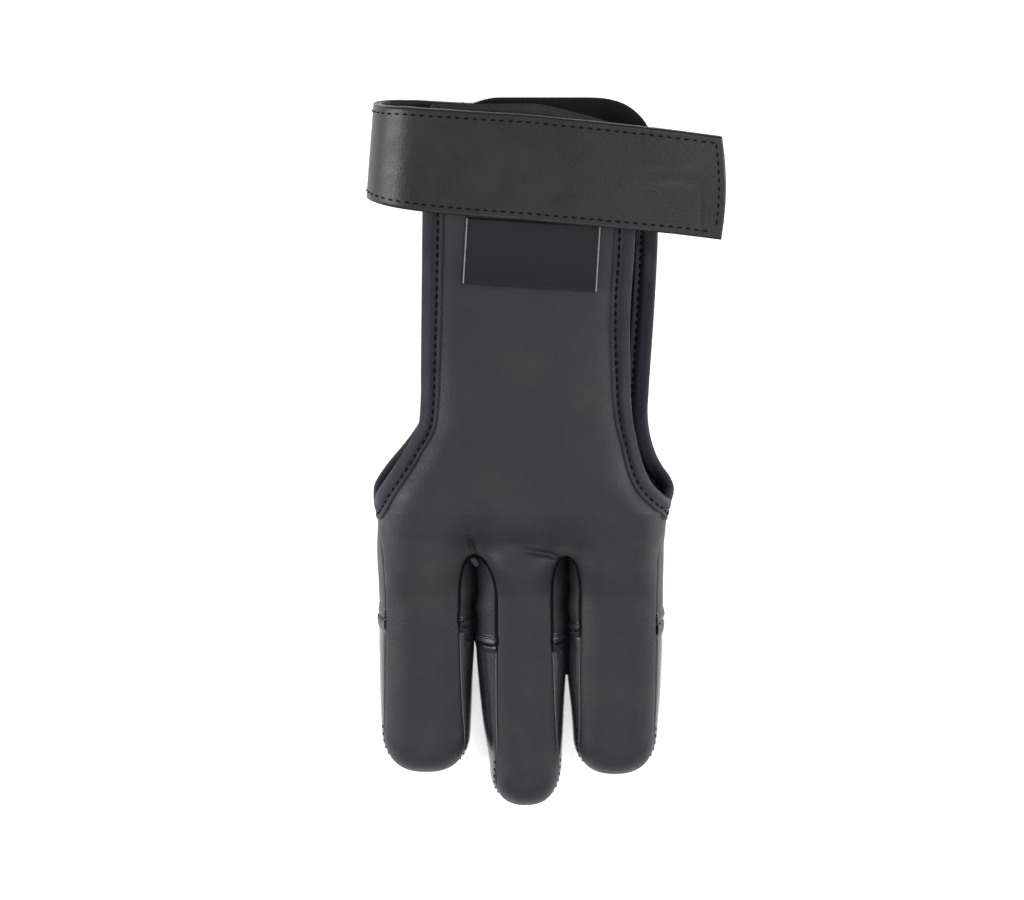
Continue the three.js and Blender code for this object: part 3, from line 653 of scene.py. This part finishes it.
# Creases and marks: a line of x and y in mm seen from above, its width and its depth
SHARP_CREASE = 1 * MM
SPLIT_REACH = 3 * MM
BACK_FLOOR = 8 * MM
STRAP_FLOOR = 20 * MM
CREASES = (
    # soft hollow over the root of the middle finger
    (((-17, -23.6), (-10, -23), (-3, -23.4), (4, -25.4)), 3.6 * MM, 1.4 * MM),
    # sharp crease into the right fork
    (((-6.5, -24.3), (-2.8, -25), (1, -25.8), (4.1, -27.6), (6, -29)), 0.9 * MM, 1.1 * MM),
    # crease up from the left fork
    (((-21.9, -20.5), (-21.4, -22), (-20.9, -24.4), (-20, -27.3)), 0.8 * MM, 1.3 * MM),
    # faint folds where the hand bends
    (((-42, -20), (-33, -22), (-24, -23)), 2.6 * MM, 0.4 * MM),
    (((12, -24), (22, -21), (31, -18)), 2.6 * MM, 0.4 * MM),
)
STRAP_MARKS = (
    (((20, 79), (30, 82), (40, 84)), 1.5 * MM, 0.16 * MM),
    (((26, 87), (34, 86), (42, 87.5)), 1.1 * MM, 0.14 * MM),
    (((-20, 74), (-5, 72), (10, 71)), 3.5 * MM, 0.2 * MM),
    # outline of the touch tape that shows through the end of the strap
    (((44.3, 81), (44, 72), (43.3, 64)), 0.9 * MM, 0.24 * MM),
    (((29, 83), (37, 82.4), (43.5, 81.5)), 0.9 * MM, 0.14 * MM),
)


def shape_forks(places):
    """Draw the leather at the roots of the fingers up and apart, and let the slits wave."""
    places = np.array(places)
    for x, y, lift, spread, touch, close in FORKS:
        across, along = (places[:, :2] - np.array((x, y)) * MM).T
        arch = fade(across, ARCH_ACROSS) * fade(along, ARCH_ALONG)
        upper = np.clip((places[:, 2] - SPREAD_FROM) / SPREAD_OVER, 0, 1)
        slit = fade(across, SLIT_ACROSS)
        closing = (CLOSING * fade(along + CLOSING_DOWN, CLOSING_ALONG, 4)
                   + close * MM * fade(along + touch * MM, TOUCH_ALONG))
        waving = WAVE * fade(along + WAVE_DOWN, WAVE_ALONG) * np.sin(along / WAVE_TURN)
        places[:, 1] += lift * MM * arch
        places[:, 0] += spread * MM * arch * upper * np.tanh(across / SPREAD_STEP)
        places[:, 0] += slit * (waving - closing * np.tanh(across / SLIT_STEP))
    return places


back = copy_of("back_panel", "back_of_hand")
palm = copy_of("palm_panel", "palm_side")
tips = [copy_of(f"tip_{name}", f"fingertip_{name}") for name in FINGERS]
gussets = [copy_of(f"fork_{name}", f"fork_gusset_{name}") for name in SIDES]
back_edge = outer_edge(back)
palm_edge = outer_edge(palm)
tip_edges = [outer_edge(tip) for tip in tips]
gusset_edges = [wall_edges(gusset, GUSSET_SHEETS) for gusset in gussets]
for piece in (back, palm, *tips, *gussets):
    if piece not in gussets:
        mark_inside(piece)
    smooth_subdivide(piece, 2)
    move_corners(piece.data, shape_forks(corners_of(piece.data)))
for line, width, depth in CREASES:
    if width < SHARP_CREASE:
        refine(back, line, SPLIT_REACH, BACK_FLOOR)
    press(back, line, width, depth, BACK_FLOOR)
finish_piece(back, soft_leather, "soft_leather", "back_panel")
finish_piece(palm, soft_leather, "soft_leather", "palm_panel")
# The fork walls take the darker copy of the leather: painted shade in the forks
for gusset, name in zip(gussets, SIDES):
    finish_piece(gusset, gusset_leather_painted_shade, "soft_leather", f"fork_{name}")
for tip, name in zip(tips, FINGERS):
    finish_piece(tip, pad_leather, "pad_leather", f"tip_{name}")
leather_surface = surface_of(back, palm, *tips, *gussets)


# Round cords: a curled seam allowance in the left fork, in the darker fork leather that paints
# shade there, and near-black cords deep in both forks, painted shade between the fingers
def cord(name, line, radius, material, slot, sides=8):
    """A round cord along a line of points, drawn in at its ends."""
    rows = np.c_[line, np.tile((0.0, 0, 1, 1, 0, 0), (len(line), 1))]
    line = resample(rows, 0.5 * radius)[:, :3]
    ahead = unit(np.gradient(line, axis=0))
    across = unit(np.cross(ahead, UP))
    above = np.cross(across, ahead)
    share = np.linspace(0, 1, len(line))
    length = np.linalg.norm(np.diff(line, axis=0), axis=1).sum()
    taper = 1 - np.clip(1 - np.minimum(share, 1 - share) * length / radius, 0, 1) ** 2
    thick = radius * np.sqrt(np.clip(taper, 0.02, 1))
    turns = 2 * math.pi * np.arange(sides)[:, None] / sides
    rings = [place + size * (np.cos(turns) * a + np.sin(turns) * b)
             for place, size, a, b in zip(line, thick, across, above)]
    finish_piece(skin(name, rings), material, slot)


CURL = ((-21.0, -26.9, 19.9), (-20.2, -28.2, 20.3), (-19.2, -29.6, 19.7))
CURL_RADIUS = 0.9 * MM
FORK_SHADE_CORDS = ((-19.9, -52, "left"), (6.3, -64, "right"))
FORK_SHADE_START = -25.5
FORK_SHADE_HEIGHTS = (5.5, 8.5, 11.5)
FORK_SHADE_RADIUS = 1.1 * MM

# The curl is in the darker fork leather: painted shade
cord("fork_curl", np.array(CURL) * MM, CURL_RADIUS, gusset_leather_painted_shade, "soft_leather", 12)
# Near-black cords deep in each fork: painted shade in the gap between the fingers
for x, end, name in FORK_SHADE_CORDS:
    for count, height in enumerate(FORK_SHADE_HEIGHTS):
        line = np.array([(x, y, height) for y in np.linspace(FORK_SHADE_START, end, 8)]) * MM
        cord(f"fork_painted_shade_{name}_{count}", line, FORK_SHADE_RADIUS, dark_suede_and_painted_shade, "soft_leather")


# Dark welts that fill the seams round the fingertips and the fork gussets
WELT_DEPTH = 0.7 * LEATHER
WELT_SHIFT = 0.15 * MM
WELTS = [(f"{name}_tip", sides_of(edge), 0.45 * MM) for name, edge in zip(FINGERS, tip_edges)]
WELTS += [(f"{name}_fork", [np.concatenate((edge, edge[:2])) for edge in edges], 0.65 * MM)
          for name, edges in zip(SIDES, gusset_edges)]
for name, sides, radius in WELTS:
    for count, side in enumerate(sides):
        if len(side) > 2:
            middle = side[:, :3] - WELT_DEPTH * side[:, 3:6] - WELT_SHIFT * unit(side[:, 6:9])
            cord(f"welt_{name}_{count}", shape_forks(middle), radius, dark_suede_and_painted_shade, "soft_leather", 6)


# Folded edging round the side openings. Its lip: shares of the width from the edge inwards, and
# of the height. Its width: how far along from the notch's end, in mm, and the share of the width
LIP = (
    (1.0, 0.02), (0.99, 0.3), (0.965, 0.5), (0.925, 0.58), (0.88, 0.5), (0.83, 0.46), (0.77, 0.4),
    (0.725, 0.2), (0.69, 0.08), (0.65, 0.06), (0.61, 0.16), (0.565, 0.46), (0.5, 0.74),
    (0.4, 0.92), (0.28, 0.98), (0.16, 1.0), (0.05, 1.0),
)
WIDTH_BY_REACH = ((-20, 1.0), (-8, 0.8), (0, 0.58), (2.5, 0.76), (6, 1.32), (10, 1.5), (15, 1.35),
                  (28, 1.0))
FOLD_STEPS = 7
FOLD_BULGE = 0.95
BLEND_SHARE = 0.35
EDGING_STEP = 0.7 * MM
EDGING_PITCH = 2.35 * MM
EDGING_STITCH = 1.75 * MM
EDGING_THREAD = 0.75 * MM
STITCH_SHARE = 0.67

# Where the openings run, in mm: how far beside the hand's middle line, and from the notch's end
# to the cuff
HAND_MIDDLE = -7
OPENING_ASIDE = 12
NOTCH_END = -13.8
CUFF_INSET = 1.2


def edging_widths(route):
    """The edging's width along its route: bunched beside the notch, narrow round its end."""
    steps = np.linalg.norm(np.diff(route[:, :3], axis=0), axis=1)
    reach = np.concatenate(([0], np.cumsum(steps)))
    reach = (reach[np.argmin(route[:, 1])] - reach) / MM
    return EDGING_WIDTH * np.interp(reach, *zip(*WIDTH_BY_REACH))


def edging_ring(row, width, surface):
    """One ring of the edging: outer lip, round fold, inner lip."""
    point = row[:3]
    normal = row[3:6]
    inward = row[6:9]
    deep = np.array([share * width for share, _ in LIP])[:, None]
    height = np.array([share * EDGING_HEIGHT for _, share in LIP])[:, None]
    blend = np.clip(deep / (BLEND_SHARE * width), 0, 1)
    lips = []
    for side in (1, -1):
        start = point if side > 0 else point - LEATHER * normal
        straight = start + deep * inward
        places, normals = lay_on(surface, straight, np.tile(side * normal, (len(LIP), 1)))
        places = blend * places + (1 - blend) * straight
        normals = unit(blend * normals + (1 - blend) * side * normal)
        lips.append(places + height * normals)
    radius = 0.5 * LEATHER + EDGING_HEIGHT
    turns = [math.pi * (0.5 - k / FOLD_STEPS) for k in range(1, FOLD_STEPS)]
    fold = [point - 0.5 * LEATHER * normal - FOLD_BULGE * radius * math.cos(turn) * inward
            + radius * math.sin(turn) * normal for turn in turns]
    return np.concatenate((lips[0], fold, lips[1][::-1]))


for side, name in ((-1, "left"), (1, "right")):
    cuff_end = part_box(f"binding_{name}")[1].y / MM - CUFF_INSET

    def in_opening(place, side=side, reach=cuff_end):
        return side * (place[0] - HAND_MIDDLE) > OPENING_ASIDE and NOTCH_END < place[1] < reach

    back_route = stretch(back_edge, in_opening)
    palm_route = stretch(palm_edge, in_opening)
    if back_route[0, 1] < back_route[-1, 1]:
        back_route = back_route[::-1]
    if palm_route[0, 1] > palm_route[-1, 1]:
        palm_route = palm_route[::-1]
    whole = resample(np.concatenate((back_route, palm_route)), EDGING_STEP)
    widths = edging_widths(whole)
    binding = skin(f"edging_{name}", [edging_ring(row, width, leather_surface)
                                      for row, width in zip(whole, widths)])
    finish_piece(binding, edging_leather, "edging_leather", f"binding_{name}")
    surface = surface_of(binding)
    line = whole.copy()
    line[:, :3] += STITCH_SHARE * widths[:, None] * whole[:, 6:9]
    lay_stitches(f"edging_stitches_{name}", stitch_row(line, surface, 0, EDGING_PITCH),
                 EDGING_STITCH, EDGING_THREAD)
    line[:, :3] -= LEATHER * whole[:, 3:6]
    lay_stitches(f"edging_inner_stitches_{name}",
                 stitch_row(line, surface, 0, EDGING_PITCH, facing=-1),
                 EDGING_STITCH, EDGING_THREAD)


# Ribbed cross seams where the smooth pads start, and the stitches at their tips. The rib: how far
# past the seam and how high, in mm. Its shifts: up the finger at its left and right end, in mm
RIB = (
    (-2.1, 0.0), (-1.85, 0.16), (-1.6, 0.2), (-1.35, 0.12), (-1.05, 0.16), (-0.8, 0.42),
    (-0.4, 0.58), (0, 0.62), (0.4, 0.58), (0.8, 0.42), (1.05, 0.16), (1.35, 0.12), (1.65, 0.24),
    (2.2, 0.28),
)
RIB_SKIRT = ((1.0, 0.26), (2.2, 0.02))
RIB_SHIFTS = {"left": (2.6, 0.3), "middle": (1.2, 1.6), "right": (0.6, 2.8)}
RIB_STEP = 0.6 * MM
RIB_WALL = 0.3 * MM
SEAM_HALF = 1.1 * MM
SEAM_LIMIT = -60 * MM
RIB_ROWS = (("upper", -1.35 * MM), ("lower", 1.35 * MM))
RIB_PITCH = 1.9 * MM
RIB_STITCH = 1.3 * MM
RIB_THREAD = 0.35 * MM

# Rows of stitches at the fingertips: where they start and how long they are, in mm
TIP_STARTS = {"left": -76, "middle": -85, "right": -76}
TIP_SPAN = 15
TIP_HALF = 5
TIP_INSET = 0.9 * MM
TIP_PITCH = 2.2 * MM
TIP_STITCH = 1.3 * MM
TIP_THREAD = 0.45 * MM

for tip_edge, name in zip(tip_edges, FINGERS):
    seam = next(side for side in sides_of(tip_edge)
                if abs(side[1:-1, 7].mean()) > 0.8 and len(side) > 4
                and side[:, 1].mean() > SEAM_LIMIT)
    seam = resample(seam, RIB_STEP)
    near, far = RIB_SHIFTS[name]
    share = (seam[:, 0] - seam[:, 0].min()) / np.ptp(seam[:, 0])
    shift = (near + (far - near) * share) * MM
    rings = []
    for row, rise in zip(seam, shift):
        deep = [at * MM - rise for at, _ in RIB] + [at * MM for at, _ in RIB_SKIRT]
        height = [high * MM for _, high in RIB + RIB_SKIRT]
        straight = row[:3] + np.array(deep)[:, None] * row[6:9]
        places, normals = lay_on(leather_surface, straight, np.tile(row[3:6], (len(deep), 1)))
        over_seam = np.abs(deep) < SEAM_HALF
        places[over_seam] = straight[over_seam]
        normals[over_seam] = row[3:6]
        under = places[::-1] - RIB_WALL * normals[::-1]
        rings.append(np.concatenate((places + np.array(height)[:, None] * normals, under)))
    rib = skin(f"cross_seam_{name}", rings)
    finish_piece(rib, seam_leather, "pad_leather")
    surface = surface_of(rib)
    for row_name, place in RIB_ROWS:
        row = seam.copy()
        row[:, :3] += (place - shift)[:, None] * seam[:, 6:9]
        lay_stitches(f"cross_seam_stitches_{name}_{row_name}",
                     stitch_row(row, surface, 0, RIB_PITCH), RIB_STITCH, RIB_THREAD)
    middle = seam[:, 0].mean() / MM
    start = TIP_STARTS[name]
    for side, side_name in zip((-1, 1), SIDES):
        ends = stretch(tip_edge, lambda place: (
            side * (place[0] - middle) > TIP_HALF and start - TIP_SPAN < place[1] < start))
        lay_stitches(f"tip_stitches_{name}_{side_name}",
                     stitch_row(ends, leather_surface, TIP_INSET, TIP_PITCH),
                     TIP_STITCH, TIP_THREAD)


# Strap, touch tapes and label
GROOVE_WIDTH = 0.4 * MM
GROOVE_DEPTH = 0.35 * MM
STRAP_INSET = 2.0 * MM
STRAP_PITCH = 2.5 * MM
STRAP_STITCH = 1.7 * MM
TAPE_INSET = 1.3 * MM
TAPE_PITCH = 2.4 * MM
TAPE_STITCH = 1.6 * MM
LABEL_STEP = 1 * MM
LABEL_INSET = 0.4 * MM
LABEL_RAISE = 0.05 * MM
LABEL_THREAD = 0.18 * MM


def rows_along(edge, surface, inset, pitch):
    """Stitch places along every side of a strip, kept clear of its corners."""
    places = []
    for side in sides_of(edge):
        places += stitch_row(side, surface, inset, pitch)[1:-1]
    return places


strap = copy_of("wrist_strap", "strap")
strap_edge = outer_edge(strap)
crease_rims(strap)
smooth_subdivide(strap, 3, rim_hold=1)
between_layers = strap_edge[:, :3] - 0.5 * STRAP_LEATHER * strap_edge[:, 3:6]
groove(strap, np.concatenate((between_layers, between_layers[:1])), GROOVE_WIDTH,
       GROOVE_DEPTH)
for line, width, depth in STRAP_MARKS:
    press(strap, line, width, depth, STRAP_FLOOR)
finish_piece(strap, strap_leather, "strap_leather", "wrist_strap")
lay_stitches("strap_stitches",
             rows_along(strap_edge, surface_of(strap), STRAP_INSET, STRAP_PITCH), STRAP_STITCH)

for node, name in (("hook_patch", "hook_tape"), ("loop_patch", "loop_tape")):
    tape = copy_of(node, name)
    tape_edge = outer_edge(tape)
    crease_rims(tape)
    smooth_subdivide(tape, 2, rim_hold=1)
    finish_piece(tape, tape_pile, "touch_tape", node)
    lay_stitches(f"{name}_stitches",
                 rows_along(tape_edge, surface_of(tape), TAPE_INSET, TAPE_PITCH), TAPE_STITCH)

label = copy_of("label", "bare_label")
label_edge = outer_edge(label, top=True)
crease_rims(label)
smooth_subdivide(label, 3, rim_hold=1)
finish_piece(label, label_satin, "woven_cloth", "label")
label_surface = surface_of(label)
for side in sides_of(label_edge):
    if abs(unit(side[-1, :3] - side[0, :3])[1]) > 0.7:
        row = resample(side, LABEL_STEP)
        places, normals = lay_on(label_surface, row[:, :3] + LABEL_INSET * row[:, 6:9],
                                 row[:, 3:6])
        edge_name = "left" if side[0, 0] < label_edge[:, 0].mean() else "right"
        cord(f"label_edge_{edge_name}", places + LABEL_RAISE * normals, LABEL_THREAD,
             thread_grey, "woven_cloth", 6)


# Camera, lamps and floor. A lamp each: place and size in metres, and watts
LAMPS = {
    "softbox_left": ((-1.2, 0.05, 0.7), (0.5, 1.0), 18),
    "softbox_right": ((1.3, 0.1, 0.5), (0.4, 1.2), 15),
    "softbox_front": ((0.1, -0.9, 1.3), (0.9, 0.6), 6),
    "softbox_top": ((0.55, 0.35, 1.5), (0.5, 0.5), 6),
}
FLOOR_SIZE = 6
FLOOR_TONE = 0.9
FLOOR_GLOW = 0.55
SKY_GLOW = 0.46
WHITE = (1, 1, 1, 1)


def add_camera():
    data = bpy.data.cameras.new("camera")
    data.sensor_width = SENSOR_WIDTH
    data.lens = SENSOR_WIDTH * CAMERA_DISTANCE / PICTURE_WIDTH
    data.clip_start = 0.1
    data.clip_end = 10
    camera = bpy.data.objects.new("camera", data)
    bpy.context.scene.collection.objects.link(camera)
    right = Vector((1, 0, 0))
    up = Vector((0, math.cos(CAMERA_TILT), -math.sin(CAMERA_TILT)))
    back_of_view = Vector((0, math.sin(CAMERA_TILT), math.cos(CAMERA_TILT)))
    place = Matrix((right, up, back_of_view)).transposed().to_4x4()
    place.translation = CAMERA_TARGET + back_of_view * CAMERA_DISTANCE
    camera.matrix_world = place
    bpy.context.scene.camera = camera


def add_area_light(name, place, size, power):
    """A soft rectangular lamp aimed at the glove."""
    data = bpy.data.lights.new(name, "AREA")
    data.shape = "RECTANGLE"
    data.size = size[0]
    data.size_y = size[1]
    data.energy = power
    lamp = bpy.data.objects.new(name, data)
    bpy.context.scene.collection.objects.link(lamp)
    lamp.location = place
    lamp.rotation_euler = (-Vector(place)).to_track_quat("-Z", "Y").to_euler()


def add_stage():
    """The pale floor, the even light of the studio and its lamps."""
    bpy.ops.object.select_all(action="DESELECT")
    bpy.ops.mesh.primitive_plane_add(size=FLOOR_SIZE)
    floor = bpy.context.active_object
    floor.name = "floor"
    material, shader, _ = material_nodes("pale_floor")
    shader.inputs["Base Color"].default_value = (FLOOR_TONE, FLOOR_TONE, FLOOR_TONE, 1)
    shader.inputs["Roughness"].default_value = 0.9
    shader.inputs["Emission Color"].default_value = WHITE
    shader.inputs["Emission Strength"].default_value = FLOOR_GLOW
    floor.data.materials.append(material)
    world = bpy.data.worlds.new("studio")
    world.use_nodes = True
    sky = world.node_tree.nodes["Background"]
    sky.inputs["Color"].default_value = WHITE
    sky.inputs["Strength"].default_value = SKY_GLOW
    bpy.context.scene.world = world
    bpy.context.scene.view_settings.view_transform = "Standard"
    for name, (place, size, power) in LAMPS.items():
        add_area_light(name, place, size, power)


add_camera()
add_stage()
